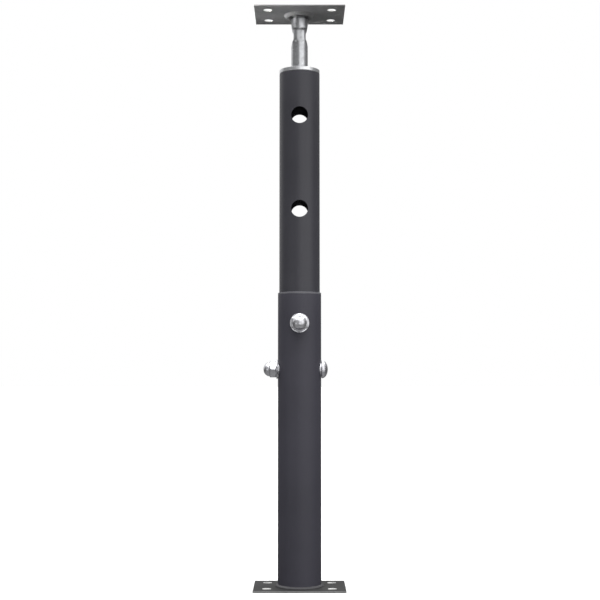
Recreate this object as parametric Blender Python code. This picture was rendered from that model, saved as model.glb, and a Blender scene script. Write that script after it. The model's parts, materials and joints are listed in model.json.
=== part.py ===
"""Adjustable steel jack post: two telescoping tubes, two bolted cross pins and a screw head.

Metres, +Z up. The origin is the centre of the base plate's underside, and -Y is the front.
Touching pieces are drawn with a small gap, GAP, between their faces.
"""

import math

import bmesh
import bpy

GAP = 0.0003

# The whole post, as set
POST_HEIGHT = 1.016
PLATE_THICKNESS = 0.0026

# Plates: the same pressing is used at both ends, with its ring towards the post
PLATE_WIDTH = 0.160
PLATE_DEPTH = 0.114
BOLT_SPACING_X = 0.113
BOLT_SPACING_Y = 0.064
BOLT_HOLE_RADIUS = 0.0072
RING_INNER_RADIUS = 0.0162
RING_CREST_RADIUS = 0.0215
RING_OUTER_RADIUS = 0.0290
RING_HEIGHT = 0.0054
RING_SLOPE_RADIUS = RING_CREST_RADIUS + 0.0010
RING_WALL_LEAN = 0.0014
RING_CREST_HALF = 0.0018
GROOVE_INSET = 0.7 * PLATE_THICKNESS

# Outer tube
OUTER_RADIUS = 0.0381
OUTER_WALL = 0.0019
OUTER_BOTTOM = PLATE_THICKNESS + GAP
OUTER_TOP = 0.5141
RIM_ROUND = 0.0010

# Cross pins: the upper one runs front to back, the lower one side to side under the inner tube
PIN_RADIUS = 0.0127
PIN_HOLE_RADIUS = 0.0134
UPPER_PIN_HEIGHT = 0.4592
LOWER_PIN_HEIGHT = 0.3793
PIN_THREAD_RADIUS = 0.0094
PIN_THREAD_IN_NUT = 0.0145
PIN_CHAMFER = 0.0008
HEAD_RADIUS = 0.0158
HEAD_EDGE = 0.0014
HEAD_HEIGHT = 0.0113
HEAD_CHAMFER = 0.0004
WASHER_RADIUS = 0.01675
WASHER_BORE_RADIUS = 0.0101
WASHER_THICKNESS = 0.0022
WASHER_CHAMFER = 0.0004
NUT_ACROSS_FLATS = 0.0286
NUT_HEX_HEIGHT = 0.0112
NUT_DOME_RADIUS = 0.0124
NUT_DOME_HEIGHT = 0.0113
NUT_BORE_RADIUS = PIN_THREAD_RADIUS + GAP
NUT_BORE_DEPTH = 0.0155
NUT_FACE_CHAMFER = 0.0012
NUT_BACK_CHAMFER = 0.0016
NUT_DOME_ROOT = 0.0010

# Inner tube: it rests on the lower pin, and its lowest hole hangs on the upper pin
INNER_RADIUS = 0.0358
INNER_WALL = 0.0020
INNER_BOTTOM = LOWER_PIN_HEIGHT + PIN_RADIUS + GAP
INNER_TOP = 0.9059
INNER_HOLE_RADIUS = 0.01475
PINNED_HOLE_HEIGHT = UPPER_PIN_HEIGHT + PIN_RADIUS + GAP - INNER_HOLE_RADIUS
SPARE_HOLE_HEIGHTS = (0.6601, 0.8259)

# Threaded collar in the inner tube's mouth
COLLAR_RADIUS = 0.0357
COLLAR_EDGE = 0.0060
COLLAR_HEIGHT = 0.0108
COLLAR_LEAD_IN = 0.0008
COLLAR_CROWN_RADIUS = 0.0170
COLLAR_SPIGOT_RADIUS = 0.0334
COLLAR_SPIGOT_LENGTH = 0.0130

# Jack screw, with a flattened eye for the turning bar and a pivot inside the top plate's ring
SCREW_RADIUS = 0.0147
SCREW_BOTTOM = 0.8570
SCREW_TOP = POST_HEIGHT - PLATE_THICKNESS - GAP
SCREW_CHAMFER = 0.0025
SCREW_HEAD_CHAMFER = 0.0008
SCREW_PIVOT_RADIUS = 0.0112
SCREW_SHOULDER = 1.0060
EYE_HALF_THICKNESS = 0.0112
EYE_HALF_WIDTH = 0.0154
EYE_BOTTOM = 0.96135
EYE_TOP = 0.98785
EYE_FLAT_FROM = 0.96885
EYE_FLAT_TO = 0.98135
BAR_HOLE_RADIUS = 0.0080

# Weld fillet at the outer tube's foot
WELD_WIDTH = 0.0045
WELD_HEIGHT = 0.0040
WELD_TOE = 0.0004

TUBE_SEGMENTS = 48
SMALL_SEGMENTS = 32
BOLT_HOLE_SEGMENTS = 20
SHARP_ANGLE = math.radians(32)

# Finishes: base colour, roughness and metallic
CHARCOAL_COAT = ((0.068, 0.067, 0.079), 0.48, 0.0)
PRESSED_STEEL = ((0.120, 0.120, 0.124), 0.55, 0.5)
BRIGHT_ZINC = ((0.620, 0.625, 0.640), 0.24, 1.0)
SCREW_ZINC = ((0.480, 0.485, 0.495), 0.30, 1.0)


def clear_scene():
    for thing in list(bpy.data.objects):
        bpy.data.objects.remove(thing)


def finish_with(thing, finish):
    """Give one object its own material."""
    colour, roughness, metallic = finish
    material = bpy.data.materials.new(thing.name)
    material.use_nodes = True
    shader = material.node_tree.nodes["Principled BSDF"]
    shader.inputs["Base Color"].default_value = (*colour, 1.0)
    shader.inputs["Roughness"].default_value = roughness
    shader.inputs["Metallic"].default_value = metallic
    thing.data.materials.append(material)


def object_from(bm, name):
    """Close the bmesh into a smooth-shaded object with its faces pointing out."""
    bmesh.ops.recalc_face_normals(bm, faces=bm.faces)
    mesh = bpy.data.meshes.new(name)
    bm.to_mesh(mesh)
    bm.free()
    mesh.shade_smooth()
    mesh.set_sharp_from_angle(angle=SHARP_ANGLE)
    thing = bpy.data.objects.new(name, mesh)
    bpy.context.scene.collection.objects.link(thing)
    return thing


def turned(name, profile, segments, bored):
    """Turn a profile of (radius, height) points about Z. A bored profile is a closed outline."""
    bm = bmesh.new()
    points = [bm.verts.new((radius, 0.0, height)) for radius, height in profile]
    edges = [bm.edges.new(pair) for pair in zip(points, points[1:])]
    if bored:
        edges.append(bm.edges.new((points[-1], points[0])))
    bmesh.ops.spin(
        bm,
        geom=points + edges,
        cent=(0.0, 0.0, 0.0),
        axis=(0.0, 0.0, 1.0),
        dvec=(0.0, 0.0, 0.0),
        angle=math.tau,
        steps=segments,
        use_merge=True,
    )
    bmesh.ops.remove_doubles(bm, verts=bm.verts, dist=0.000001)
    return object_from(bm, name)


def combine(target, tool, operation):
    """Join the tool to the target, or cut the target with it, and leave the tool as a guide."""
    modifier = target.modifiers.new(tool.name, "BOOLEAN")
    modifier.operation = operation
    modifier.solver = "EXACT"
    modifier.object = tool
    tool.hide_render = True
    tool.display_type = "WIRE"


def drill(target, name, radius, length, place, direction, segments=SMALL_SEGMENTS):
    """Cut a round hole, centred on place, along X, Y or Z."""
    half = length / 2
    outline = [(0.0, -half), (radius, -half), (radius, half), (0.0, half)]
    tool = turned(name, outline, segments, bored=False)
    turns = {"X": (0.0, math.pi / 2, 0.0), "Y": (-math.pi / 2, 0.0, 0.0), "Z": (0.0, 0.0, 0.0)}
    tool.location = place
    tool.rotation_euler = turns[direction]
    combine(target, tool, "DIFFERENCE")


def ring_outline(outer_foot, inner_foot, height, foot_height):
    """Half section of the pressed ring: a steep inner wall, a round crest and a long outer slope."""
    outline = [(inner_foot, foot_height)]
    outline.append((inner_foot + RING_WALL_LEAN, height - 0.0012))
    outline.append((RING_CREST_RADIUS - RING_CREST_HALF, height - 0.0001))
    outline.append((RING_CREST_RADIUS, height))
    slope_top = height - 0.0002
    steps = 4
    for step in range(steps + 1):
        share = step / steps
        radius = RING_SLOPE_RADIUS + (outer_foot - RING_SLOPE_RADIUS) * share
        fall = 0.5 + 0.5 * math.cos(math.pi * share)
        outline.append((radius, foot_height + (slope_top - foot_height) * fall))
    return outline


def box(name, size, centre):
    bm = bmesh.new()
    bmesh.ops.create_cube(bm, size=1.0)
    bmesh.ops.scale(bm, vec=size, verts=bm.verts)
    bmesh.ops.translate(bm, vec=centre, verts=bm.verts)
    return object_from(bm, name)


def pressed_plate(name):
    """A flat plate, its underside at z = 0, with a pressed ring standing up from its middle."""
    plate = box(
        name,
        (PLATE_WIDTH, PLATE_DEPTH, PLATE_THICKNESS),
        (0.0, 0.0, PLATE_THICKNESS / 2),
    )
    crest = PLATE_THICKNESS + RING_HEIGHT
    ridge = ring_outline(RING_OUTER_RADIUS, RING_INNER_RADIUS, crest, PLATE_THICKNESS)
    root = PLATE_THICKNESS / 2
    ridge = [(RING_INNER_RADIUS, root)] + ridge + [(RING_OUTER_RADIUS, root)]
    combine(plate, turned(name + "_ridge", ridge, TUBE_SEGMENTS, bored=True), "UNION")
    below = -PLATE_THICKNESS
    wide = RING_OUTER_RADIUS - GROOVE_INSET
    narrow = RING_INNER_RADIUS + GROOVE_INSET
    groove = ring_outline(wide, narrow, RING_HEIGHT, 0.0)
    groove = [(groove[0][0], below)] + groove + [(groove[-1][0], below)]
    combine(plate, turned(name + "_groove", groove, TUBE_SEGMENTS, bored=True), "DIFFERENCE")
    for side_x in (-1, 1):
        for side_y in (-1, 1):
            place = (side_x * BOLT_SPACING_X / 2, side_y * BOLT_SPACING_Y / 2, 0.0)
            hole = f"{name}_bolt_hole_{side_x}_{side_y}"
            length = 6 * PLATE_THICKNESS
            drill(plate, hole, BOLT_HOLE_RADIUS, length, place, "Z", BOLT_HOLE_SEGMENTS)
    finish_with(plate, PRESSED_STEEL)
    return plate


def seat_top_plate(plate):
    """Turn the plate over and lift it, with its holes and ring, to the top of the post."""
    carried = [modifier.object for modifier in plate.modifiers]
    for tool in carried:
        tool.parent = plate
    plate.rotation_euler = (math.pi, 0.0, 0.0)
    plate.location = (0.0, 0.0, POST_HEIGHT)


def foot_weld():
    """Fillet weld round the outer tube's foot, a little hollow in section."""
    inner = OUTER_RADIUS + GAP
    foot = PLATE_THICKNESS + GAP
    outline = [(inner, foot)]
    steps = 3
    for step in range(steps + 1):
        turn = math.pi / 2 * step / steps
        radius = inner + WELD_WIDTH * (1.0 - 0.78 * math.sin(turn))
        height = foot + WELD_TOE + (WELD_HEIGHT - WELD_TOE) * (1.0 - math.cos(turn)) ** 0.8
        outline.append((radius, height))
    outline.append((inner, foot + WELD_HEIGHT))
    weld = turned("foot_weld", outline, TUBE_SEGMENTS, bored=True)
    finish_with(weld, CHARCOAL_COAT)


def outer_tube():
    bore = OUTER_RADIUS - OUTER_WALL
    outline = [
        (bore, OUTER_BOTTOM),
        (OUTER_RADIUS, OUTER_BOTTOM),
        (OUTER_RADIUS, OUTER_TOP - RIM_ROUND),
        (OUTER_RADIUS - 0.3 * RIM_ROUND, OUTER_TOP - 0.3 * RIM_ROUND),
        (OUTER_RADIUS - RIM_ROUND, OUTER_TOP),
        (bore, OUTER_TOP),
    ]
    tube = turned("outer_tube", outline, TUBE_SEGMENTS, bored=True)
    through = 2.4 * OUTER_RADIUS
    drill(tube, "outer_upper_hole", PIN_HOLE_RADIUS, through, (0.0, 0.0, UPPER_PIN_HEIGHT), "Y")
    drill(tube, "outer_lower_hole", PIN_HOLE_RADIUS, through, (0.0, 0.0, LOWER_PIN_HEIGHT), "X")
    finish_with(tube, CHARCOAL_COAT)


def inner_tube():
    bore = INNER_RADIUS - INNER_WALL
    outline = [
        (bore, INNER_BOTTOM),
        (INNER_RADIUS, INNER_BOTTOM),
        (INNER_RADIUS, INNER_TOP),
        (bore, INNER_TOP),
    ]
    tube = turned("inner_tube", outline, TUBE_SEGMENTS, bored=True)
    through = 2.4 * INNER_RADIUS
    for number, height in enumerate((PINNED_HOLE_HEIGHT, *SPARE_HOLE_HEIGHTS)):
        place = (0.0, 0.0, height)
        drill(tube, f"inner_hole_{number}", INNER_HOLE_RADIUS, through, place, "Y")
    finish_with(tube, CHARCOAL_COAT)


def collar_nut():
    """Domed threaded cap: its rim sits on the inner tube's end and its spigot goes inside."""
    seat = INNER_TOP + GAP
    bore = SCREW_RADIUS + GAP
    outline = [
        (bore, seat - COLLAR_SPIGOT_LENGTH),
        (COLLAR_SPIGOT_RADIUS, seat - COLLAR_SPIGOT_LENGTH),
        (COLLAR_SPIGOT_RADIUS, seat),
        (COLLAR_RADIUS, seat),
        (COLLAR_RADIUS, seat + COLLAR_EDGE),
    ]
    steps = 5
    rise = COLLAR_HEIGHT - COLLAR_EDGE
    for step in range(1, steps + 1):
        share = step / steps
        radius = COLLAR_RADIUS - (COLLAR_RADIUS - COLLAR_CROWN_RADIUS) * share
        height = seat + COLLAR_EDGE + rise * math.sin(math.pi / 2 * share)
        outline.append((radius, height))
    outline.append((bore, seat + COLLAR_HEIGHT - COLLAR_LEAD_IN))
    collar = turned("collar_nut", outline, TUBE_SEGMENTS, bored=True)
    finish_with(collar, BRIGHT_ZINC)


def ease(share):
    """Smooth step from 0 to 1."""
    share = min(max(share, 0.0), 1.0)
    return share * share * (3.0 - 2.0 * share)


def eye_share(height):
    """How far the bar is forged flat at a height, from 0 (round) to 1 (the eye's middle)."""
    rising = ease((height - EYE_BOTTOM) / (EYE_FLAT_FROM - EYE_BOTTOM))
    falling = ease((EYE_TOP - height) / (EYE_TOP - EYE_FLAT_TO))
    return min(rising, falling)


def screw_sections():
    """Heights of the screw's sections, their half sizes along X and Y, and how flat-sided they are."""
    tip = SCREW_RADIUS - SCREW_CHAMFER
    sections = [(SCREW_BOTTOM, tip, tip, 0.0)]
    sections.append((SCREW_BOTTOM + SCREW_CHAMFER, SCREW_RADIUS, SCREW_RADIUS, 0.0))
    steps = 12
    for step in range(steps + 1):
        height = EYE_BOTTOM + (EYE_TOP - EYE_BOTTOM) * step / steps
        share = eye_share(height)
        half_x = SCREW_RADIUS + (EYE_HALF_THICKNESS - SCREW_RADIUS) * share
        half_y = SCREW_RADIUS + (EYE_HALF_WIDTH - SCREW_RADIUS) * share
        sections.append((height, half_x, half_y, share))
    rim = SCREW_RADIUS - SCREW_HEAD_CHAMFER
    sections.append((SCREW_SHOULDER - SCREW_HEAD_CHAMFER, SCREW_RADIUS, SCREW_RADIUS, 0.0))
    sections.append((SCREW_SHOULDER, rim, rim, 0.0))
    sections.append((SCREW_SHOULDER, SCREW_PIVOT_RADIUS, SCREW_PIVOT_RADIUS, 0.0))
    sections.append((SCREW_TOP, SCREW_PIVOT_RADIUS, SCREW_PIVOT_RADIUS, 0.0))
    return sections


def screw_loop(bm, height, half_x, half_y, flat):
    """A section from a plain circle (flat 0) to a bar with rounded corners (flat 1)."""
    power = 1.0 / (1.0 + flat)
    loop = []
    for number in range(SMALL_SEGMENTS):
        turn = math.tau * number / SMALL_SEGMENTS
        x = math.copysign(half_x * abs(math.cos(turn)) ** power, math.cos(turn))
        y = math.copysign(half_y * abs(math.sin(turn)) ** power, math.sin(turn))
        loop.append(bm.verts.new((x, y, height)))
    return loop


def jack_screw():
    bm = bmesh.new()
    loops = [screw_loop(bm, *section) for section in screw_sections()]
    for low, high in zip(loops, loops[1:]):
        for number in range(SMALL_SEGMENTS):
            after = (number + 1) % SMALL_SEGMENTS
            bm.faces.new((low[number], low[after], high[after], high[number]))
    bm.faces.new(loops[0])
    bm.faces.new(loops[-1])
    screw = object_from(bm, "jack_screw")
    eye_middle = (0.0, 0.0, (EYE_FLAT_FROM + EYE_FLAT_TO) / 2)
    drill(screw, "bar_hole", BAR_HOLE_RADIUS, 4 * SCREW_RADIUS, eye_middle, "X")
    finish_with(screw, SCREW_ZINC)


def cross_pin(name):
    """Mushroom-headed pin along Z: head up, full shank through both tubes, thread below."""
    seat = OUTER_RADIUS + GAP
    shoulder = -OUTER_RADIUS + GAP
    end = -seat - WASHER_THICKNESS - GAP - PIN_THREAD_IN_NUT
    outline = [
        (0.0, end),
        (PIN_THREAD_RADIUS - PIN_CHAMFER, end),
        (PIN_THREAD_RADIUS, end + PIN_CHAMFER),
        (PIN_THREAD_RADIUS, shoulder),
        (PIN_RADIUS - PIN_CHAMFER, shoulder),
        (PIN_RADIUS, shoulder + PIN_CHAMFER),
        (PIN_RADIUS, seat),
        (HEAD_RADIUS - HEAD_CHAMFER, seat),
    ]
    steps = 6
    for step in range(steps + 1):
        turn = math.pi / 2 * step / steps
        height = seat + HEAD_EDGE + (HEAD_HEIGHT - HEAD_EDGE) * math.sin(turn)
        outline.append((HEAD_RADIUS * math.cos(turn), height))
    outline[-1] = (0.0, seat + HEAD_HEIGHT)
    pin = turned(name, outline, SMALL_SEGMENTS, bored=False)
    finish_with(pin, BRIGHT_ZINC)
    return pin


def pin_washer(name):
    near = -OUTER_RADIUS - GAP
    far = near - WASHER_THICKNESS
    outline = [
        (WASHER_BORE_RADIUS, near),
        (WASHER_RADIUS, near),
        (WASHER_RADIUS, far + WASHER_CHAMFER),
        (WASHER_RADIUS - WASHER_CHAMFER, far),
        (WASHER_BORE_RADIUS, far),
    ]
    washer = turned(name, outline, SMALL_SEGMENTS, bored=True)
    finish_with(washer, BRIGHT_ZINC)
    return washer


def cap_nut(name):
    """Domed hexagon nut with a blind bore, its open face up towards the tube."""
    face = -OUTER_RADIUS - WASHER_THICKNESS - 2 * GAP
    back = face - NUT_HEX_HEIGHT
    corner = NUT_ACROSS_FLATS / math.sqrt(3.0)
    nut = turned(name, [(0.0, back), (corner, back), (corner, face), (0.0, face)], 6, bored=False)
    blank = [
        (0.0, face),
        (NUT_ACROSS_FLATS / 2, face),
        (corner, face - NUT_FACE_CHAMFER),
        (corner, back + NUT_BACK_CHAMFER),
        (NUT_ACROSS_FLATS / 2, back),
        (0.0, back),
    ]
    combine(nut, turned(name + "_blank", blank, SMALL_SEGMENTS, bored=False), "INTERSECT")
    dome = [(0.0, back + NUT_DOME_ROOT), (NUT_DOME_RADIUS, back + NUT_DOME_ROOT)]
    steps = 5
    for step in range(steps + 1):
        turn = math.pi / 2 * step / steps
        dome.append((NUT_DOME_RADIUS * math.cos(turn), back - NUT_DOME_HEIGHT * math.sin(turn)))
    dome[-1] = (0.0, back - NUT_DOME_HEIGHT)
    combine(nut, turned(name + "_dome", dome, SMALL_SEGMENTS, bored=False), "UNION")
    drill(nut, name + "_bore", NUT_BORE_RADIUS, 2 * NUT_BORE_DEPTH, (0.0, 0.0, face), "Z")
    finish_with(nut, BRIGHT_ZINC)
    return nut


def pin_set(place_name, height, rotation):
    """One cross pin with its washer and cap nut, head along the rotated +Z."""
    pieces = [
        cross_pin(f"{place_name}_pin"),
        pin_washer(f"{place_name}_pin_washer"),
        cap_nut(f"{place_name}_cap_nut"),
    ]
    for piece in pieces:
        for modifier in piece.modifiers:
            modifier.object.parent = piece
        piece.location = (0.0, 0.0, height)
        piece.rotation_euler = rotation


def build():
    clear_scene()
    pressed_plate("base_plate")
    seat_top_plate(pressed_plate("top_plate"))
    foot_weld()
    outer_tube()
    inner_tube()
    collar_nut()
    jack_screw()
    pin_set("upper", UPPER_PIN_HEIGHT, (-math.pi / 2, 0.0, 0.0))
    pin_set("lower", LOWER_PIN_HEIGHT, (0.0, math.pi / 2, 0.0))


build()
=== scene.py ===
"""Finished look of the adjustable steel jack post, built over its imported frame."""

import json
import math

import bmesh
import bpy
from mathutils import Matrix, Vector


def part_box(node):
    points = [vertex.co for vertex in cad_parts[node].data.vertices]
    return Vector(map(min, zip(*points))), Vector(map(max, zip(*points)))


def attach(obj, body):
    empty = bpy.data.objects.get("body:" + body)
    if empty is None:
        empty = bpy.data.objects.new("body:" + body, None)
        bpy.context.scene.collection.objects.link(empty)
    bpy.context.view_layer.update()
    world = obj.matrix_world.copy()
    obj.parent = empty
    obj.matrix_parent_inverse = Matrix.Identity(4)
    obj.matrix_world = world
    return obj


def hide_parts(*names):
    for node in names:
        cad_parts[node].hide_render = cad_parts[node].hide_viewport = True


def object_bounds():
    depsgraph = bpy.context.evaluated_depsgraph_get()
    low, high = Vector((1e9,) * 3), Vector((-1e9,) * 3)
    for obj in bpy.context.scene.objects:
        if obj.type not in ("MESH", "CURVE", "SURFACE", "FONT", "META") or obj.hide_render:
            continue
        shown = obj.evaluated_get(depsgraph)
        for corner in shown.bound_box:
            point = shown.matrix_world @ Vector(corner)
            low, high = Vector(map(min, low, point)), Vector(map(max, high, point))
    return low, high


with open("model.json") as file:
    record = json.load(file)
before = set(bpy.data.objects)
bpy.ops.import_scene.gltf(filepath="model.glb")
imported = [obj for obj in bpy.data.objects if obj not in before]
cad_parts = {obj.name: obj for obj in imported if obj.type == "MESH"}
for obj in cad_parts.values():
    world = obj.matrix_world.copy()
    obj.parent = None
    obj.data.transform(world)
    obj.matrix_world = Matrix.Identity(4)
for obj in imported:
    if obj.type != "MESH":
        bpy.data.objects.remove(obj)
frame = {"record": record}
CAD_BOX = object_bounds()

RECORD = frame["record"]
BODY_OF = {
    node: body for body, nodes in RECORD["behaviour"]["bodies"].items() for node in nodes
}
OPENINGS = {entry["name"]: entry["box_m"] for entry in RECORD["physics"]["openings"]}
COUPLINGS = {entry["joint"]: entry["ratio"] for entry in RECORD["behaviour"]["couplings"]}
BOLT_HOLE_CENTRE = [
    abs(low + high) / 2 for low, high in zip(*OPENINGS["base_plate_front_left_bolt_hole"])
][:2]

# Mesh density
AROUND = 128
PIN_AROUND = 96
NUT_AROUND = 144
PATCH_COLUMNS = 14
PATCH_ROWS = 16
ARC_STEPS = 5
RING_STEPS = 8
WELD_STEPS = 10
HEX_ROWS = 20
DOME_STEPS = 20
EYE_ROWS = 44
SCREW_ROWS_PER_TURN = 16
PIN_ROWS_PER_TURN = 12
SHARP_ANGLE = math.radians(40)

# Sizes that the frame doesn't state, in metres
TUBE_WALL = 0.0020
COAT_EDGE = 0.0006
OUTER_TUBE_ROUND = 0.0008
INNER_TUBE_ROUND = 0.0006
PATCH_MARGIN = 1.35
PIN_HOLE_RADIUS = 0.0134
INNER_HOLE_RADIUS = 0.01475
BOLT_HOLE_RADIUS = 0.0072
BAR_HOLE_RADIUS = 0.0080
GAP = 0.0003
PLATE_THICKNESS = 0.0026
RING_INNER_RADIUS = 0.0162
RING_CREST_RADIUS = 0.0215
RING_OUTER_RADIUS = 0.0290
RING_SLOPE_RADIUS = 0.0225
GROOVE_INSET = 0.7 * PLATE_THICKNESS
SHEARED_EDGE = 0.0006
HOLE_ROLL = 0.0007
COLLAR_EDGE = 0.0060
COLLAR_CROWN_RADIUS = 0.0170
COLLAR_LIP = 0.0010
SCREW_BORE = 0.01485
SCREW_TIP = 0.0025
SCREW_SHOULDER = 1.0060
SCREW_PIVOT_RADIUS = 0.0112
EYE_HALF_WIDTH = 0.0154
SCREW_THREAD_DEPTH = 0.00005
EYE_REACH_DOWN = 0.01375
EYE_REACH_UP = 0.01275
EYE_FLAT = 0.00625
EYE_HALF_THICKNESS = 0.0112
PIN_RADIUS = 0.0127
PIN_THREAD_RADIUS = 0.0094
PIN_THREAD_DEPTH = 0.0011
PIN_HEAD_HEIGHT = 0.0113
PIN_HEAD_EDGE = 0.0014
WASHER_BORE_RADIUS = 0.0101
NUT_HEX_HEIGHT = 0.0112
NUT_DOME_RADIUS = 0.0124
NUT_BORE_RADIUS = 0.0097
NUT_BORE_DEPTH = 0.0155
WELD_RIPPLES = 84
RIPPLE_HEIGHT = 0.00030

# Camera: its distance and height are shares of the post's height
LENS = 74.258
EYE_DISTANCE = 2.15
EYE_HEIGHT = 0.355
EYE_TILT = 3.6922
EYE_OFFSET = 0.0008

# Tones of the light that reaches the object, from straight below to straight above
GROUND = 0.34
WALL_LOW = 0.11
WALL_HIGH = 0.15
HIGH_WALL = 0.45
CEILING = 3.2

# Lamps: name, turn, distance, height, height aimed at, size, radiance and spread
LAMPS = [
    ("key", 30.0, 3.0, 0.80, 0.45, (3.8, 3.0), 1.14, 180.0),
    ("underlight", -48.0, 1.4, 0.25, 0.98, (0.8, 0.5), 1.1, 180.0),
    ("right_fill", 66.0, 2.6, 0.60, 0.50, (1.4, 2.2), 0.55, 180.0),
    ("front_fill", -6.0, 2.6, 0.18, 0.45, (0.9, 0.35), 1.3, 180.0),
    ("ring_light", -72.0, 0.40, 0.95, 1.04, (0.12, 0.05), 3.0, 14.0),
    ("left_strip", -134.0, 1.8, 1.25, 1.1, (1.4, 1.3), 0.55, 180.0),
    ("back_fill", 175.0, 2.6, 2.6, 0.4, (2.0, 1.0), 0.9, 180.0),
]
FLOOR_RADIUS = 60.0
FLOOR_DROP = 0.0005

# Bare steel on the plates' sheared sides, painted light in their bolt holes, and a painted highlight
# band on the outer tube's top rim
SHEARED_STEEL = (0.22, 0.22, 0.22)
# Painted light: near white laid on the bolt holes' walls and lips, as light seen through the holes
HOLE_PAINTED_LIGHT = (0.80, 0.80, 0.79, 1.0)
# Painted highlight: tone and height of a lighter band along the outer tube's top rim, where the
# rounded rim catches light
RIM_HIGHLIGHT = (0.15, 0.15, 0.165, 1.0)
RIM_HIGHLIGHT_HEIGHT = 0.0028


# ---------------------------------------------------------------- mesh helpers


def link(bm, name):
    """A smooth-shaded object from a closed bmesh, with its faces pointing out."""
    bmesh.ops.recalc_face_normals(bm, faces=bm.faces)
    mesh = bpy.data.meshes.new(name)
    bm.to_mesh(mesh)
    bm.free()
    mesh.shade_smooth()
    mesh.set_sharp_from_angle(angle=SHARP_ANGLE)
    piece = bpy.data.objects.new(name, mesh)
    bpy.context.scene.collection.objects.link(piece)
    return piece


def even_shading(piece):
    """Keep large faces flat beside small rounded edges."""
    modifier = piece.modifiers.new("even_shading", "WEIGHTED_NORMAL")
    modifier.keep_sharp = True
    modifier.weight = 80


def fillets(corners):
    """Round the corners of an open polyline of (radius, height, fillet) points with arcs."""
    outline = []
    for number, (radius, height, fillet) in enumerate(corners):
        here = Vector((radius, height))
        if fillet == 0.0 or number in (0, len(corners) - 1):
            outline.append(here)
            continue
        back = (Vector(corners[number - 1][:2]) - here).normalized()
        ahead = (Vector(corners[number + 1][:2]) - here).normalized()
        half = back.angle(ahead) / 2
        reach = fillet / math.tan(half)
        centre = here + (back + ahead).normalized() * fillet / math.sin(half)
        start = here + back * reach - centre
        sweep = (here + ahead * reach - centre).angle_signed(start)
        for step in range(ARC_STEPS + 1):
            turn = Matrix.Rotation(sweep * step / ARC_STEPS, 2)
            outline.append(centre + turn @ start)
    return [(point.x, point.y) for point in outline]


def circle(radius, height, count=AROUND):
    turns = [math.tau * number / count for number in range(count)]
    return [(radius * math.cos(turn), radius * math.sin(turn), height) for turn in turns]


def skin(name, loops, ring=False):
    """Skin a list of point loops. A ring joins its last loop to its first; a bar gets end caps."""
    bm = bmesh.new()
    rows = [[bm.verts.new(point) for point in loop] for loop in loops]
    pairs = list(zip(rows, rows[1:]))
    if ring:
        pairs.append((rows[-1], rows[0]))
    for low, high in pairs:
        for number in range(len(low)):
            after = (number + 1) % len(low)
            bm.faces.new((low[number], low[after], high[after], high[number]))
    if not ring:
        for row in (rows[0], rows[-1]):
            middle = sum((vert.co for vert in row), Vector()) / len(row)
            pole = bm.verts.new(middle)
            for number in range(len(row)):
                bm.faces.new((pole, row[number], row[(number + 1) % len(row)]))
    return link(bm, name)


def turned(name, outline, ring=False, count=AROUND):
    """Turn an outline of (radius, height) points about Z."""
    return skin(name, [circle(radius, height, count) for radius, height in outline], ring)


def cut(piece, tool, operation="DIFFERENCE"):
    """Apply a Boolean to the piece and remove the tool."""
    modifier = piece.modifiers.new("cut", "BOOLEAN")
    modifier.operation = operation
    modifier.solver = "EXACT"
    modifier.object = tool
    bpy.context.view_layer.update()
    shape = piece.evaluated_get(bpy.context.evaluated_depsgraph_get())
    mesh = bpy.data.meshes.new_from_object(shape)
    piece.modifiers.remove(modifier)
    piece.data = mesh
    bpy.data.objects.remove(tool)
    mesh.shade_smooth()
    mesh.set_sharp_from_angle(angle=SHARP_ANGLE)


def place(piece, matrix):
    piece.data.transform(matrix)
    return piece


def finished(piece, node, material):
    """The piece stands for a CAD node and hangs on the same body; the node is hidden."""
    piece.data.materials.clear()
    piece.data.materials.append(material)
    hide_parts(node)
    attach(piece, BODY_OF[node])


# ------------------------------------------------------------ material helpers


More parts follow.
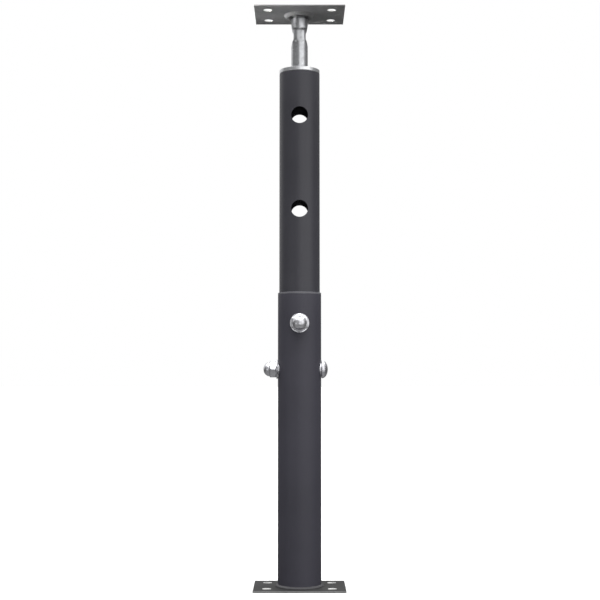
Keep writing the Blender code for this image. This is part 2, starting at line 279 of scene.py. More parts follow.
class Nodes:
    """A short way to write a material's node tree."""

    def __init__(self, name):
        self.material = bpy.data.materials.new(name)
        self.material.use_nodes = True
        self.tree = self.material.node_tree
        self.shader = self.tree.nodes["Principled BSDF"]
        self.place = self.add("ShaderNodeTexCoord").outputs["Object"]

    def add(self, kind, **values):
        node = self.tree.nodes.new(kind)
        for key, value in values.items():
            setattr(node, key, value)
        return node

    def set(self, node, **inputs):
        """Set or link inputs by name, with _ for a space."""
        for key, value in inputs.items():
            socket = node.inputs[key.replace("_", " ")]
            if isinstance(value, bpy.types.NodeSocket):
                self.tree.links.new(value, socket)
            else:
                socket.default_value = value
        return node

    def stretched(self, scale):
        mapping = self.add("ShaderNodeMapping")
        self.set(mapping, Vector=self.place, Scale=scale)
        return mapping.outputs["Vector"]

    def noise(self, scale, detail=3.0, roughness=0.55, vector=None):
        node = self.add("ShaderNodeTexNoise")
        self.set(node, Vector=vector or self.place, Scale=scale, Detail=detail)
        self.set(node, Roughness=roughness)
        return node.outputs["Fac"]

    def cells(self, scale):
        node = self.add("ShaderNodeTexVoronoi")
        self.set(node, Vector=self.place, Scale=scale)
        return node.outputs["Color"]

    def remap(self, value, low, high, to_low, to_high):
        node = self.add("ShaderNodeMapRange")
        node.clamp = True
        self.tree.links.new(value, node.inputs["Value"])
        for number, amount in enumerate((low, high, to_low, to_high), start=1):
            node.inputs[number].default_value = amount
        return node.outputs["Result"]

    def blend(self, share, first, second):
        node = self.add("ShaderNodeMix", data_type="RGBA")
        sockets = {"Factor": share, "A": first, "B": second}
        for key, value in sockets.items():
            socket = [s for s in node.inputs if s.name == key and s.enabled][0]
            if isinstance(value, bpy.types.NodeSocket):
                self.tree.links.new(value, socket)
            else:
                socket.default_value = value
        return [s for s in node.outputs if s.enabled][0]

    def bump(self, height, distance, strength, under=None):
        node = self.add("ShaderNodeBump")
        self.set(node, Height=height, Distance=distance, Strength=strength)
        if under is not None:
            self.set(node, Normal=under)
        return node.outputs["Normal"]

    def math(self, operation, first, second):
        node = self.add("ShaderNodeMath", operation=operation)
        for socket, value in zip(node.inputs, (first, second)):
            if isinstance(value, bpy.types.NodeSocket):
                self.tree.links.new(value, socket)
            else:
                socket.default_value = value
        return node.outputs["Value"]

    def near_bolt_hole(self):
        """1 in the plates' bolt holes and on their rolled lips, 0 away from them."""
        split = self.add("ShaderNodeSeparateXYZ")
        self.set(split, Vector=self.place)
        hole = BOLT_HOLE_CENTRE
        off_x = self.math("SUBTRACT", self.math("ABSOLUTE", split.outputs["X"], 0.0), hole[0])
        off_y = self.math("SUBTRACT", self.math("ABSOLUTE", split.outputs["Y"], 0.0), hole[1])
        square_x = self.math("MULTIPLY", off_x, off_x)
        square_y = self.math("MULTIPLY", off_y, off_y)
        away = self.math("SQRT", self.math("ADD", square_x, square_y), 0.0)
        return self.remap(away, BOLT_HOLE_RADIUS + 0.0002, BOLT_HOLE_RADIUS + 0.0007, 1.0, 0.0)

    def sheared_side(self):
        """1 on the plates' sheared outer sides, 0 on their faces."""
        split = self.add("ShaderNodeSeparateXYZ")
        self.set(split, Vector=self.place)
        half_width, half_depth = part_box("base_plate")[1].xy
        across = self.math("DIVIDE", self.math("ABSOLUTE", split.outputs["X"], 0.0), half_width)
        along = self.math("DIVIDE", self.math("ABSOLUTE", split.outputs["Y"], 0.0), half_depth)
        return self.remap(self.math("MAXIMUM", across, along), 0.992, 0.998, 0.0, 1.0)

    def edges(self, low, high):
        """0 on faces, rising to 1 on outward edges."""
        node = self.add("ShaderNodeNewGeometry")
        return self.remap(node.outputs["Pointiness"], low, high, 0.0, 1.0)


def colour(red, green, blue):
    return (red, green, blue, 1.0)


def shades(base, *factors):
    return [colour(*(factor * part for part in base)) for factor in factors]


def powder_coat(name, base, roughness, highlight_above=None):
    """Charcoal powder coat: fine orange peel, slightly cloudy, rubbed lighter on its edges, with an
    optional painted highlight band above a given height.
    """
    nodes = Nodes(name)
    cloud = nodes.noise(9.0, detail=5.0)
    scuff = nodes.noise(160.0, detail=4.0, vector=nodes.stretched((1.0, 1.0, 0.2)))
    grain = nodes.noise(900.0, detail=2.0)
    darker, lighter, rubbed, worn = shades(base, 0.90, 1.10, 1.25, 2.1)
    body = nodes.blend(nodes.remap(cloud, 0.3, 0.7, 0.0, 1.0), darker, lighter)
    body = nodes.blend(nodes.remap(scuff, 0.62, 0.80, 0.0, 0.5), body, rubbed)
    tone = nodes.blend(nodes.edges(0.54, 0.62), body, worn)
    # Painted highlight: towards the top the tone fades into a lighter band with a wavering lower
    # edge, where the rim catches light
    if highlight_above is not None:
        up = nodes.add("ShaderNodeSeparateXYZ")
        nodes.set(up, Vector=nodes.place)
        wander = nodes.remap(nodes.noise(70.0, detail=3.0), 0.2, 0.8, 0.0, 0.0012)
        level = nodes.math("ADD", up.outputs["Z"], wander)
        rim_highlight = nodes.remap(level, highlight_above, highlight_above + 0.0010, 0.0, 0.8)
        tone = nodes.blend(rim_highlight, tone, RIM_HIGHLIGHT)
    low, high = roughness - 0.04, roughness + 0.04
    nodes.set(nodes.shader, Base_Color=tone, Roughness=nodes.remap(cloud, 0.3, 0.7, low, high))
    under = nodes.bump(cloud, 0.0004, 0.3)
    nodes.set(nodes.shader, Normal=nodes.bump(grain, 0.00005, 0.5, under))
    nodes.shader.inputs["IOR"].default_value = 1.42
    return nodes.material


def pressed_steel(name, base, metallic, sheen):
    """Mottled, lightly scaled plate with fine grain and bare sheared sides; lighter on crests and
    edges, partly wear and partly painted highlight; near white in its bolt holes, painted light
    through them.
    """
    nodes = Nodes(name)
    mottle = nodes.noise(60.0, detail=6.0, roughness=0.65)
    wide = nodes.noise(14.0, detail=3.0)
    speck = nodes.noise(420.0, detail=3.0, roughness=0.7)
    darkest, darker, lighter, specked, worn = shades(base, 0.62, 0.80, 1.25, 1.7, 2.2)
    body = nodes.blend(nodes.remap(mottle, 0.35, 0.65, 0.0, 1.0), darker, lighter)
    body = nodes.blend(nodes.remap(wide, 0.40, 0.62, 0.7, 0.0), body, darkest)
    body = nodes.blend(nodes.remap(speck, 0.52, 0.75, 0.0, 0.5), body, specked)
    # Partly wear and partly painted highlight: edges and the pressed ring's crest are lighter where
    # they catch light
    tone = nodes.blend(nodes.edges(0.54, 0.64), body, worn)
    sheared = nodes.blend(speck, *shades(SHEARED_STEEL, 0.8, 1.2))
    tone = nodes.blend(nodes.sheared_side(), tone, sheared)
    # Painted light: the bolt holes and their lips are painted near white, as light seen through them
    tone = nodes.blend(nodes.near_bolt_hole(), tone, HOLE_PAINTED_LIGHT)
    nodes.set(nodes.shader, Base_Color=tone, Roughness=nodes.remap(mottle, 0.3, 0.7, 0.40, 0.58))
    under = nodes.bump(mottle, 0.0003, 0.25)
    nodes.set(nodes.shader, Normal=nodes.bump(speck, 0.0001, 0.5, under))
    nodes.shader.inputs["Metallic"].default_value = metallic
    nodes.shader.inputs["Specular IOR Level"].default_value = sheen
    return nodes.material


def zinc(name, base, rough_low, rough_high, dents):
    """Zinc plate: faint spangle, cloudy passivation, soft dents and fine handling marks."""
    nodes = Nodes(name)
    cloud = nodes.noise(140.0, detail=4.0)
    dent = nodes.noise(230.0, detail=2.0)
    marks = nodes.noise(700.0, detail=2.0, vector=nodes.stretched((1.0, 1.0, 0.25)))
    spangle = nodes.cells(420.0)
    dull, darker = shades(base, 0.62, 0.82)
    body = nodes.blend(nodes.remap(cloud, 0.35, 0.65, 0.0, 1.0), darker, colour(*base))
    body = nodes.blend(nodes.remap(dent, 0.55, 0.72, 0.0, 0.6), body, dull)
    body = nodes.blend(nodes.remap(spangle, 0.0, 1.0, 0.0, 0.10), body, colour(0.9, 0.9, 0.9))
    rough = nodes.remap(cloud, 0.3, 0.7, rough_high, rough_low)
    nodes.set(nodes.shader, Base_Color=body, Roughness=rough)
    under = nodes.bump(dent, 0.0007, dents)
    nodes.set(nodes.shader, Normal=nodes.bump(marks, 0.00005, 0.35, under))
    nodes.shader.inputs["Metallic"].default_value = 1.0
    return nodes.material


# ----------------------------------------------------------------------- tubes


def on_wall(radius, turn, across, height):
    """The point of a round wall that lies across from a hole's axis. Turn 0 faces the front."""
    depth = math.sqrt(radius * radius - across * across)
    sine, cosine = math.sin(turn), math.cos(turn)
    return (across * cosine + depth * sine, across * sine - depth * cosine, height)


class TubeWall:
    """One face of a tube's wall, as a grid with round holes let into it."""

    def __init__(self, bm, radius, heights, holes):
        self.bm = bm
        self.radius = radius
        self.heights = heights
        self.holes = holes
        self.grid = []
        for height in heights:
            self.grid.append(rim_loop(bm, radius, height))

    def patch(self, hole):
        """Columns and rows that a hole takes out of the grid."""
        turn, height, hole_radius = hole
        column = round(turn / math.tau * AROUND)
        reach = patch_reach(hole_radius)
        rows = [r for r, z in enumerate(self.heights) if abs(z - height) < reach + 0.0001]
        return column - PATCH_COLUMNS, column + PATCH_COLUMNS, rows[0], rows[-1]

    def fill_grid(self):
        patches = [self.patch(hole) for hole in self.holes]
        for row in range(len(self.heights) - 1):
            for column in range(AROUND):
                if any(self.inside(column, row, patch) for patch in patches):
                    continue
                after = (column + 1) % AROUND
                low, high = self.grid[row], self.grid[row + 1]
                self.bm.faces.new((low[column], low[after], high[after], high[column]))

    @staticmethod
    def inside(column, row, patch):
        first, last, low, high = patch
        near = (column - first) % AROUND < last - first
        return near and low <= row < high

    def boundary(self, hole):
        """The patch's outline as grid vertices, counter-clockwise from its lower left corner."""
        first, last, low, high = self.patch(hole)
        path = [(column, low) for column in range(first, last)]
        path += [(last, row) for row in range(low, high)]
        path += [(column, high) for column in range(last, first, -1)]
        path += [(first, row) for row in range(high, low, -1)]
        return path

    def hole_loop(self, hole, bearings, hole_radius, sink):
        """A round loop on the wall about the hole's axis, sunk along that axis."""
        turn, height, _ = hole
        loop = []
        for bearing in bearings:
            across = hole_radius * math.cos(bearing)
            x, y, z = on_wall(self.radius, turn, across, height + hole_radius * math.sin(bearing))
            x -= sink * math.sin(turn)
            y += sink * math.cos(turn)
            loop.append(self.bm.verts.new((x, y, z)))
        return loop

    def open_hole(self, hole, edge_side):
        """Mesh the patch round a hole, return its innermost loop. edge_side: 1 outside, -1 inside."""
        turn, height, hole_radius = hole
        path = self.boundary(hole)
        column_turn = math.tau / AROUND
        centre = round(turn / column_turn)
        flat = [
            (self.radius * (column - centre) * column_turn, self.heights[row] - height)
            for column, row in path
        ]
        bearings = [math.atan2(z, s) for s, z in flat]
        loops = [[self.grid[row][column % AROUND] for column, row in path]]
        rim = hole_radius + 2 * COAT_EDGE
        for share in (0.35, 0.7):
            loop = []
            for (s, z), bearing in zip(flat, bearings):
                rim_s = self.radius * math.asin(rim * math.cos(bearing) / self.radius)
                rim_z = rim * math.sin(bearing)
                across_turn = turn + (s + (rim_s - s) * share) / self.radius
                up = height + z + (rim_z - z) * share
                x = self.radius * math.sin(across_turn)
                y = -self.radius * math.cos(across_turn)
                loop.append(self.bm.verts.new((x, y, up)))
            loops.append(loop)
        loops.append(self.hole_loop(hole, bearings, rim, 0.0))
        for step in range(ARC_STEPS + 1):
            turn_step = math.pi / 2 * step / ARC_STEPS
            radius = hole_radius + COAT_EDGE * (1.0 - math.sin(turn_step))
            sink = edge_side * COAT_EDGE * (1.0 - math.cos(turn_step))
            loops.append(self.hole_loop(hole, bearings, radius, sink))
        for wide, narrow in zip(loops, loops[1:]):
            join(self.bm, wide, narrow)
        return loops[-1]


def join(bm, first, second):
    for number in range(len(first)):
        after = (number + 1) % len(first)
        bm.faces.new((first[number], first[after], second[after], second[number]))


def patch_reach(hole_radius):
    return PATCH_MARGIN * hole_radius


def tube_heights(low, high, holes):
    """Rows of the tube's grid: its ends, and even rows beside each hole."""
    heights = {low, high}
    for _, height, hole_radius in holes:
        reach = patch_reach(hole_radius)
        for row in range(PATCH_ROWS + 1):
            heights.add(round(height - reach + 2 * reach * row / PATCH_ROWS, 6))
    return sorted(heights)


def drilled_tube(name, radius, low, high, holes, outer_round):
    """A tube with coated, softly rounded edges at its ends and its holes."""
    bore = radius - TUBE_WALL
    bm = bmesh.new()
    heights = tube_heights(low + outer_round, high - outer_round, holes)
    outside = TubeWall(bm, radius, heights, holes)
    inside = TubeWall(bm, bore, heights, holes)
    outside.fill_grid()
    inside.fill_grid()
    for hole in holes:
        join(bm, outside.open_hole(hole, 1), inside.open_hole(hole, -1))
    inner_round = min(outer_round, 0.4 * TUBE_WALL)
    for end, row in ((low, 0), (high, -1)):
        up = 1.0 if end == high else -1.0
        loops = [outside.grid[row]]
        for step in range(1, ARC_STEPS + 1):
            turn = math.pi / 2 * step / ARC_STEPS
            rim_radius = radius - outer_round * (1.0 - math.cos(turn))
            height = end - up * outer_round * (1.0 - math.sin(turn))
            loops.append(rim_loop(bm, rim_radius, height))
        for step in range(ARC_STEPS):
            turn = math.pi / 2 * (1.0 - step / ARC_STEPS)
            rim_radius = bore + inner_round * (1.0 - math.cos(turn))
            height = end - up * inner_round * (1.0 - math.sin(turn))
            loops.append(rim_loop(bm, rim_radius, height))
        loops.append(inside.grid[row])
        for first, second in zip(loops, loops[1:]):
            join(bm, first, second)
    return link(bm, name)


def rim_loop(bm, radius, height):
    turns = [math.tau * column / AROUND for column in range(AROUND)]
    return [bm.verts.new((radius * math.sin(t), -radius * math.cos(t), height)) for t in turns]


def outer_tube(material):
    low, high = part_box("outer_tube")
    upper = middle_of("upper_pin").z
    lower = middle_of("lower_pin").z
    holes = [(0.0, upper, PIN_HOLE_RADIUS), (math.pi, upper, PIN_HOLE_RADIUS)]
    holes += [(math.pi / 2, lower, PIN_HOLE_RADIUS), (-math.pi / 2, lower, PIN_HOLE_RADIUS)]
    name = "outer_tube_finished"
    tube = drilled_tube(name, high.x, low.z, high.z, holes, OUTER_TUBE_ROUND)
    finished(tube, "outer_tube", material)


def inner_tube(material):
    low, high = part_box("inner_tube")
    spare_holes = ("lower_spare_pin_hole", "upper_spare_pin_hole")
    heights = [box_middle(OPENINGS[name]).z for name in spare_holes]
    pin_top = middle_of("upper_pin").z + PIN_RADIUS
    heights.append(pin_top + GAP - INNER_HOLE_RADIUS)
    holes = [(turn, height, INNER_HOLE_RADIUS) for height in heights for turn in (0.0, math.pi)]
    name = "inner_tube_finished"
    tube = drilled_tube(name, high.x, low.z, high.z, holes, INNER_TUBE_ROUND)
    finished(tube, "inner_tube", material)


def middle_of(node):
    low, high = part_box(node)
    return (low + high) / 2


def box_middle(corners):
    return (Vector(corners[0]) + Vector(corners[1])) / 2


def foot_weld(material):
    """A hand-run fillet weld: overlapping ripples on a softly swollen bead."""
    low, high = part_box("foot_weld")
    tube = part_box("outer_tube")[1].x
    foot, top, reach = low.z, high.z, high.x
    count = 3 * AROUND
    turns = [math.tau * number / count for number in range(count)]
    swell = [0.5 + 0.5 * math.sin(5 * t + 0.7) * math.sin(3 * t + 2.0) for t in turns]
    ripple = [abs(math.sin(WELD_RIPPLES * t / 2)) ** 0.7 for t in turns]
    loops = []
    for step in range(WELD_STEPS + 1):
        share = step / WELD_STEPS
        arc = math.pi / 2 * share
        bulge = math.sin(math.pi * share)
        loop = []
        for turn, wide, bead in zip(turns, swell, ripple):
            width = (reach - tube) * (0.82 + 0.10 * wide) + RIPPLE_HEIGHT * bulge * bead
            height = (top - foot) * (0.86 + 0.10 * wide) + RIPPLE_HEIGHT * bulge * bead
            radius = tube - GAP + (width + GAP) * math.cos(arc) ** 1.25
            up = foot + height * math.sin(arc) ** 1.25
            loop.append((radius * math.cos(turn), radius * math.sin(turn), up))
        loops.append(loop)
    loops.append(circle(tube - GAP, foot - GAP, count))
    loops.append(circle(reach - 0.0012, foot - GAP, count))
    finished(skin("foot_weld_finished", loops, ring=True), "foot_weld", material)


# ---------------------------------------------------------------------- plates


def ring_section(outer_foot, inner_foot, height, foot):
    """Section of the pressed ring: a steep inner wall, a round crest and a long outer slope."""
    outline = []
    inner_width = RING_CREST_RADIUS - inner_foot
    for step in range(RING_STEPS + 1):
        turn = math.pi / 2 * step / RING_STEPS
        radius = inner_foot + inner_width * (1.0 - math.cos(turn)) ** 0.8
        outline.append((radius, foot + (height - foot) * math.sin(turn) ** 0.8))
    for step in range(2 * RING_STEPS + 1):
        share = step / (2 * RING_STEPS)
        radius = RING_SLOPE_RADIUS + (outer_foot - RING_SLOPE_RADIUS) * share
        outline.append((radius, foot + (height - foot) * (0.5 + 0.5 * math.cos(math.pi * share))))
    return outline


def rounded_slab(name, size):
    """A flat slab on z = 0 with rounded, sheared edges."""
    bm = bmesh.new()
    bmesh.ops.create_cube(bm, size=1.0)
    bmesh.ops.scale(bm, vec=size, verts=bm.verts)
    bmesh.ops.translate(bm, vec=(0.0, 0.0, size[2] / 2), verts=bm.verts)
    bmesh.ops.bevel(
        bm, geom=bm.edges[:], offset=SHEARED_EDGE, segments=4, profile=0.5, affect="EDGES"
    )
    return link(bm, name)


def rolled_hole(name, radius, thickness, middle):
    """A cutter for a hole in a flat plate whose edges roll over a little at both faces."""
    roll = HOLE_ROLL
    outline = [(0.0005, -thickness), (radius + roll, -thickness)]
    for step in range(ARC_STEPS + 1):
        turn = math.pi / 2 * step / ARC_STEPS
        outline.append((radius + roll * (1.0 - math.sin(turn)), roll * (1.0 - math.cos(turn))))
    for step in range(ARC_STEPS + 1):
        turn = math.pi / 2 * (1.0 - step / ARC_STEPS)
        height = thickness - roll * (1.0 - math.cos(turn))
        outline.append((radius + roll * (1.0 - math.sin(turn)), height))
    outline += [(radius + roll, 2 * thickness), (0.0005, 2 * thickness)]
    cutter = turned(name, outline, count=48)
    return place(cutter, Matrix.Translation(middle))


def pressed_plate(node, material):
    low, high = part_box(node)
    width, depth = high.x - low.x, high.y - low.y
    crest = high.z - low.z
    plate = rounded_slab(node + "_finished", (width, depth, PLATE_THICKNESS))
    root = PLATE_THICKNESS / 2
    ridge = ring_section(RING_OUTER_RADIUS, RING_INNER_RADIUS, crest, PLATE_THICKNESS)
    ridge = [(RING_INNER_RADIUS, root)] + ridge + [(RING_OUTER_RADIUS, root)]
    cut(plate, turned("ridge", ridge, ring=True), "UNION")
    wide = RING_OUTER_RADIUS - GROOVE_INSET
    narrow = RING_INNER_RADIUS + GROOVE_INSET
    groove = ring_section(wide, narrow, crest - PLATE_THICKNESS, 0.0)
    groove = [(groove[0][0], -root)] + groove + [(groove[-1][0], -root)]
    cut(plate, turned("groove", groove, ring=True))
    for name, corners in OPENINGS.items():
        if name.startswith(node):
            middle = box_middle(corners)
            middle.z = 0.0
            cut(plate, rolled_hole("hole", BOLT_HOLE_RADIUS, PLATE_THICKNESS, middle))
    if node == "top_plate":
        turn_over = Matrix.Rotation(math.pi, 4, "X")
        place(plate, Matrix.Translation((0.0, 0.0, high.z)) @ turn_over)
    else:
        place(plate, Matrix.Translation((0.0, 0.0, low.z)))
    even_shading(plate)
    finished(plate, node, material)


# ---------------------------------------------------------------- turned pieces


def collar_nut(material):
    """The zinc cap on the inner tube: a domed top over a short rim, with a threaded spigot."""
    low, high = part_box("collar_nut")
    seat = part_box("inner_tube")[1].z + GAP
    rim = high.x
    edge = seat + COLLAR_EDGE
    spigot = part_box("inner_tube")[1].x - TUBE_WALL - 0.0004
    outline = fillets(
        [
            (SCREW_BORE, low.z, 0.0),
            (spigot, low.z, 0.0008),
            (spigot, seat, 0.0),
            (rim - 0.0004, seat, 0.0),
            (rim, seat + 0.0006, 0.0003),
            (rim, edge, 0.0),
        ]
    )
    for step in range(1, DOME_STEPS + 1):
        share = step / DOME_STEPS
        radius = rim - (rim - COLLAR_CROWN_RADIUS) * share
        outline.append((radius, edge + (high.z - edge) * math.sin(math.pi / 2 * share)))
    for step in range(1, ARC_STEPS + 1):
        turn = math.pi / 2 * step / ARC_STEPS
        radius = SCREW_BORE + COLLAR_LIP * (1.0 - math.sin(turn))
        outline.append((radius, high.z - COLLAR_LIP * (1.0 - math.cos(turn))))
    collar = turned("collar_nut_finished", outline, ring=True)
    even_shading(collar)
    finished(collar, "collar_nut", material)


def thread_share(height, turn, pitch):
    """How deep a right-hand rounded thread is at a place, from 0 at the crest to 1 at the root."""
    phase = height / pitch - turn / math.tau
    wave = 0.5 + 0.62 * math.cos(math.tau * phase)
    return ease(wave)


def ease(share):
    share = min(max(share, 0.0), 1.0)
    return share * share * (3.0 - 2.0 * share)


def threaded_loop(height, radius, depth, pitch, count=AROUND):
    loop = []
    for number in range(count):
        turn = math.tau * number / count
        reach = radius - depth * thread_share(height, turn, pitch)
        loop.append((reach * math.cos(turn), reach * math.sin(turn), height))
    return loop


def flattened_loop(height, half_x, half_y, flat):
    """A section between a circle (flat 0) and a bar with rounded corners (flat 1)."""
    power = 1.0 / (1.0 + flat)
    loop = []
    for number in range(AROUND):
        turn = math.tau * number / AROUND
        cosine, sine = math.cos(turn), math.sin(turn)
        x = math.copysign(half_x * abs(cosine) ** power, cosine)
        loop.append((x, math.copysign(half_y * abs(sine) ** power, sine), height))
    return loop


def jack_screw(material):
    """Rolled thread below, forged flat above for the turning bar's hole, round at the head."""
    low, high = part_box("jack_screw")
    pitch = math.tau / COUPLINGS["screw_turn"]
    radius = high.x
    eye = box_middle(OPENINGS["turning_bar_hole"]).z
    bottom, top = low.z, high.z
    thread_end = eye - EYE_REACH_DOWN
    loops = []
    rows = round((thread_end - bottom) / pitch * SCREW_ROWS_PER_TURN)
    for row in range(rows):
        height = bottom + (thread_end - bottom) * row / rows
        tip = min(radius, radius - SCREW_TIP + (height - bottom))
        fade = ease((thread_end - 0.0005 - height) / 0.004)
        loops.append(threaded_loop(height, tip, SCREW_THREAD_DEPTH * fade, pitch))
    for row in range(EYE_ROWS + 1):
        height = thread_end + (eye + EYE_REACH_UP - thread_end) * row / EYE_ROWS
        rising = ease((height - thread_end) / (EYE_REACH_DOWN - EYE_FLAT))
        falling = ease((eye + EYE_REACH_UP - height) / (EYE_REACH_UP - EYE_FLAT))
        flat = min(rising, falling)
        half_x = radius + (EYE_HALF_THICKNESS - radius) * flat
        half_y = radius + (EYE_HALF_WIDTH - radius) * flat
        loops.append(flattened_loop(height, half_x, half_y, flat))
    head = fillets(
        [
            (radius, thread_end, 0.0),
            (radius, SCREW_SHOULDER, 0.0010),
            (SCREW_PIVOT_RADIUS, SCREW_SHOULDER, 0.0008),
            (SCREW_PIVOT_RADIUS, top, 0.0),
        ]
    )
    loops += [circle(rim, height) for rim, height in head[1:]]
    screw = skin("jack_screw_finished", loops)
    hole = []
    for step in range(2 * ARC_STEPS + 1):
        across = 0.020 * step / (2 * ARC_STEPS)
        flare = max(0.0, across - (EYE_HALF_THICKNESS - 0.0018))
        hole.append((BAR_HOLE_RADIUS + 0.9 * flare**2 / 0.0022, across))
    hole = [(r, -z) for r, z in reversed(hole[1:])] + hole
    bar_hole = turned("bar_hole", hole, count=64)
    place(bar_hole, Matrix.Translation((0.0, 0.0, eye)) @ Matrix.Rotation(math.pi / 2, 4, "Y"))
    cut(screw, bar_hole)
    even_shading(screw)
    finished(screw, "jack_screw", material)


# ------------------------------------------------------------------- cross pins


def cross_pin(node, along, material):
    """Mushroom head, plain shank through both tubes, threaded end. along turns +Z to its head."""
    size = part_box(node)[1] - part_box(node)[0]
    length = max(size)
    head_radius = min(size) / 2
    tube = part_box("outer_tube")[1].x
    seat = tube + GAP
    end = seat + PIN_HEAD_HEIGHT - length
    shoulder = GAP - tube
    pitch = math.tau / COUPLINGS["upper_nut_turn"]
    loops = []
    rows = round((shoulder - end) / pitch * PIN_ROWS_PER_TURN)
    for row in range(rows):
        height = end + (shoulder - 0.001 - end) * row / rows
        tip = min(PIN_THREAD_RADIUS, PIN_THREAD_RADIUS - 0.0012 + (height - end))
        fade = ease((shoulder - 0.002 - height) / 0.002)
        loops.append(threaded_loop(height, tip, PIN_THREAD_DEPTH * fade, pitch, PIN_AROUND))
    outline = fillets(
        [
            (PIN_THREAD_RADIUS, shoulder - 0.0008, 0.0),
            (PIN_THREAD_RADIUS, shoulder, 0.0003),
            (PIN_RADIUS, shoulder, 0.0008),
            (PIN_RADIUS, seat, 0.0),
            (head_radius - 0.0008, seat, 0.0003),
            (head_radius, seat + 0.0010, 0.0004),
            (head_radius, seat + PIN_HEAD_EDGE, 0.0),
        ]
    )
    for step in range(1, DOME_STEPS):
        turn = math.pi / 2 * step / DOME_STEPS
        height = seat + PIN_HEAD_EDGE + (PIN_HEAD_HEIGHT - PIN_HEAD_EDGE) * math.sin(turn)
        outline.append((head_radius * math.cos(turn), height))
    loops += [circle(radius, height, PIN_AROUND) for radius, height in outline]
    pin = skin(node + "_finished", loops)
    even_shading(pin)
    finished(place(pin, along), node, material)


def pin_washer(node, along, material):
    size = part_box(node)[1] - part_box(node)[0]
    thickness, rim = min(size), max(size) / 2
    near = -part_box("outer_tube")[1].x - GAP
    far = near - thickness
    outline = fillets(
        [
            (WASHER_BORE_RADIUS, far + thickness / 2, 0.0),
            (WASHER_BORE_RADIUS, near, 0.0003),
            (rim, near, 0.0008),
            (rim, far, 0.0005),
            (WASHER_BORE_RADIUS, far, 0.0003),
            (WASHER_BORE_RADIUS, far + thickness / 2, 0.0),
        ]
    )
    washer = turned(node + "_finished", outline[:-1], ring=True, count=PIN_AROUND)
    even_shading(washer)
    finished(place(washer, along), node, material)


def soft_least(first, second, softness):
    """The smaller of two lengths, blended where they are nearly equal."""
    share = min(max(0.5 + 0.5 * (second - first) / softness, 0.0), 1.0)
    return second + (first - second) * share - softness * share * (1.0 - share)


def nut_radius(turn, depth, flats, hex_height):
    """Radius of a chamfered hexagon at a depth from its bearing face."""
    swing = (turn + math.pi / 6) % (math.pi / 3) - math.pi / 6
    hexagon = flats / 2 / math.cos(swing)
    front_cone = 0.47 * flats + 1.9 * depth
    back_cone = 0.475 * flats + 1.7 * (hex_height - depth)
    cone = soft_least(front_cone, back_cone, 0.0004)
    return soft_least(hexagon, cone, 0.0005)


def cap_nut(node, washer, along, material):
    """Domed hexagon nut with a blind bore."""
    low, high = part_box(node)
    size = high - low
    flats = sorted(size)[1]
    height = min(size)
    near = -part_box("outer_tube")[1].x - 2 * GAP
    near -= min(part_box(washer)[1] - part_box(washer)[0])
    back = near - NUT_HEX_HEIGHT
    dome_height = height - NUT_HEX_HEIGHT
    turns = [math.tau * number / NUT_AROUND for number in range(NUT_AROUND)]
    bore = [
        (0.0004, near - NUT_BORE_DEPTH - 0.001),
        (NUT_BORE_RADIUS, near - NUT_BORE_DEPTH),
        (NUT_BORE_RADIUS, near - 0.0008),
        (NUT_BORE_RADIUS + 0.0008, near),
        (0.455 * flats, near),
    ]
    loops = [circle(radius, level, NUT_AROUND) for radius, level in bore]
    for row in range(HEX_ROWS + 1):
        depth = 0.5 * NUT_HEX_HEIGHT * (1.0 - math.cos(math.pi * row / HEX_ROWS))
        loop = []
        for turn in turns:
            radius = nut_radius(turn, depth, flats, NUT_HEX_HEIGHT)
            loop.append((radius * math.cos(turn), radius * math.sin(turn), near - depth))
        loops.append(loop)
    dome = [(NUT_DOME_RADIUS + 0.0008, back - 0.0001), (NUT_DOME_RADIUS + 0.0002, back - 0.0006)]
    for step in range(1, DOME_STEPS):
        turn = math.pi / 2 * step / DOME_STEPS
        radius = NUT_DOME_RADIUS * math.cos(turn) ** 0.9
        dome.append((radius, back - dome_height * math.sin(turn)))
    loops += [circle(radius, level, NUT_AROUND) for radius, level in dome]
    nut = skin(node + "_finished", loops)
    even_shading(nut)
    finished(place(nut, along), node, material)


def pin_sets(material):
    """Both cross pins with washer and nut: the upper head is at the back, the lower on the right."""
    turned_back = Matrix.Rotation(-math.pi / 2, 4, "X")
    turned_right = Matrix.Rotation(math.pi / 2, 4, "Y")
    for name, turn in (("upper", turned_back), ("lower", turned_right)):
        height = middle_of(name + "_pin").z
        along = Matrix.Translation((0.0, 0.0, height)) @ turn
        cross_pin(name + "_pin", along, material)
        pin_washer(name + "_pin_washer", along, material)
        cap_nut(name + "_cap_nut", name + "_pin_washer", along, material)


# ------------------------------------------------------------- camera and light


def camera():
    low, high = CAD_BOX
    height = high[2] - low[2]
    eye = bpy.data.cameras.new("camera")
    eye.sensor_width = 36.0
    eye.lens = LENS
    holder = bpy.data.objects.new("camera", eye)
    holder.location = (EYE_OFFSET, -EYE_DISTANCE * height, EYE_HEIGHT * height)
    holder.rotation_euler = (math.radians(90.0 + EYE_TILT), 0.0, 0.0)
    bpy.context.scene.collection.objects.link(holder)
    bpy.context.scene.camera = holder


def softbox(name, turn, distance, height, target, size, radiance, spread):
    """A soft rectangle of light. Turn 0 is in front and grows towards the right."""
    lamp = bpy.data.lights.new(name, "AREA")
    lamp.shape = "RECTANGLE"
    lamp.size, lamp.size_y = size
    lamp.energy = radiance * math.pi * size[0] * size[1]
    lamp.spread = math.radians(spread)
    holder = bpy.data.objects.new(name, lamp)
    angle = math.radians(turn)
    holder.location = (distance * math.sin(angle), -distance * math.cos(angle), height)
    aim = Vector((0.0, 0.0, target)) - holder.location
    holder.rotation_euler = aim.to_track_quat("-Z", "Y").to_euler()
    holder.visible_camera = False
    bpy.context.scene.collection.objects.link(holder)


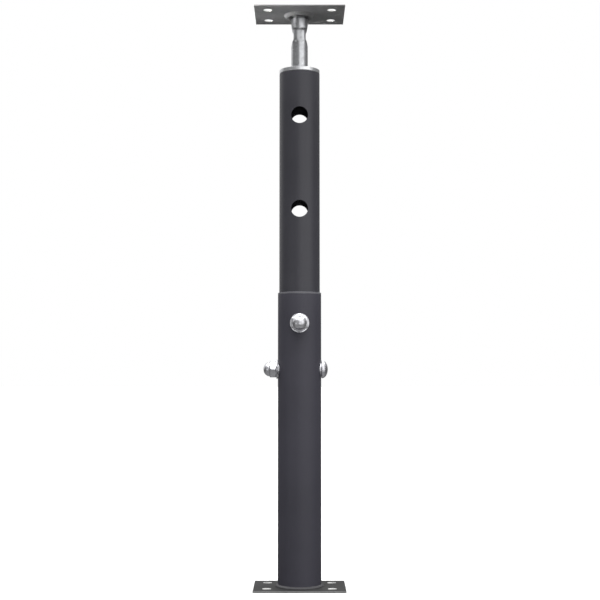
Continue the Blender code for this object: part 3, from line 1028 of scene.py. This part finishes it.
def studio():
    """White to the eye; to the object, a bright ceiling over dim walls and a darker floor."""
    scene = bpy.context.scene
    scene.view_settings.view_transform = "Standard"
    world = bpy.data.worlds.new("studio")
    world.use_nodes = True
    tree = world.node_tree
    background = tree.nodes["Background"]
    place = tree.nodes.new("ShaderNodeTexCoord")
    split = tree.nodes.new("ShaderNodeSeparateXYZ")
    tree.links.new(place.outputs["Generated"], split.inputs["Vector"])
    ramp = tree.nodes.new("ShaderNodeMapRange")
    ramp.inputs["From Min"].default_value = -1.0
    ramp.inputs["From Max"].default_value = 1.0
    tree.links.new(split.outputs["Z"], ramp.inputs["Value"])
    tones = tree.nodes.new("ShaderNodeValToRGB")
    tones.color_ramp.interpolation = "EASE"
    stops = [(0.0, GROUND), (0.47, WALL_LOW), (0.53, WALL_HIGH)]
    stops += [(0.78, HIGH_WALL), (0.90, CEILING), (1.0, CEILING)]
    elements = tones.color_ramp.elements
    while len(elements) < len(stops):
        elements.new(0.5)
    for element, (position, tone) in zip(elements, stops):
        element.position = position
        element.color = (tone, tone, tone, 1.0)
    tree.links.new(ramp.outputs["Result"], tones.inputs["Fac"])
    sight = tree.nodes.new("ShaderNodeLightPath")
    mix = tree.nodes.new("ShaderNodeMix")
    mix.data_type = "RGBA"
    sockets = [socket for socket in mix.inputs if socket.enabled]
    tree.links.new(sight.outputs["Is Camera Ray"], sockets[0])
    tree.links.new(tones.outputs["Color"], sockets[1])
    sockets[2].default_value = (1.0, 1.0, 1.0, 1.0)
    tree.links.new([s for s in mix.outputs if s.enabled][0], background.inputs["Color"])
    scene.world = world
    for lamp in LAMPS:
        softbox(*lamp)


def pale_floor():
    bm = bmesh.new()
    bmesh.ops.create_circle(bm, cap_ends=True, segments=64, radius=FLOOR_RADIUS)
    floor = link(bm, "floor")
    low, _ = CAD_BOX
    floor.location.z = low[2] - FLOOR_DROP
    floor.visible_glossy = False
    floor.visible_diffuse = False
    nodes = Nodes("pale_floor")
    tone = nodes.blend(nodes.noise(6.0), colour(0.90, 0.90, 0.90), colour(0.93, 0.93, 0.93))
    nodes.set(nodes.shader, Base_Color=tone)
    nodes.shader.inputs["Roughness"].default_value = 0.9
    floor.data.materials.append(nodes.material)


camera()
studio()
pale_floor()
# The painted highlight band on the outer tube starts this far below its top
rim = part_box("outer_tube")[1].z - RIM_HIGHLIGHT_HEIGHT
outer_tube(powder_coat("outer_tube_coat", (0.048, 0.0465, 0.061), 0.52, rim))
inner_tube(powder_coat("inner_tube_coat", (0.047, 0.0465, 0.056), 0.38))
foot_weld(powder_coat("weld_coat", (0.044, 0.043, 0.047), 0.52))
pressed_plate("base_plate", pressed_steel("base_plate_steel", (0.034, 0.034, 0.034), 0.0, 0.12))
# Painted light: the same stamped plate as the base, given a tone six times lighter to brighten its
# shaded underside
pressed_plate("top_plate", pressed_steel("top_plate_steel", (0.205, 0.205, 0.207), 0.1, 0.3))
collar_nut(zinc("collar_zinc", (0.80, 0.81, 0.83), 0.30, 0.42, 0.10))
jack_screw(zinc("screw_zinc", (0.62, 0.63, 0.65), 0.27, 0.35, 0.06))
pin_sets(zinc("fastener_zinc", (0.76, 0.76, 0.80), 0.25, 0.36, 1.0))
bpy.context.view_layer.update()
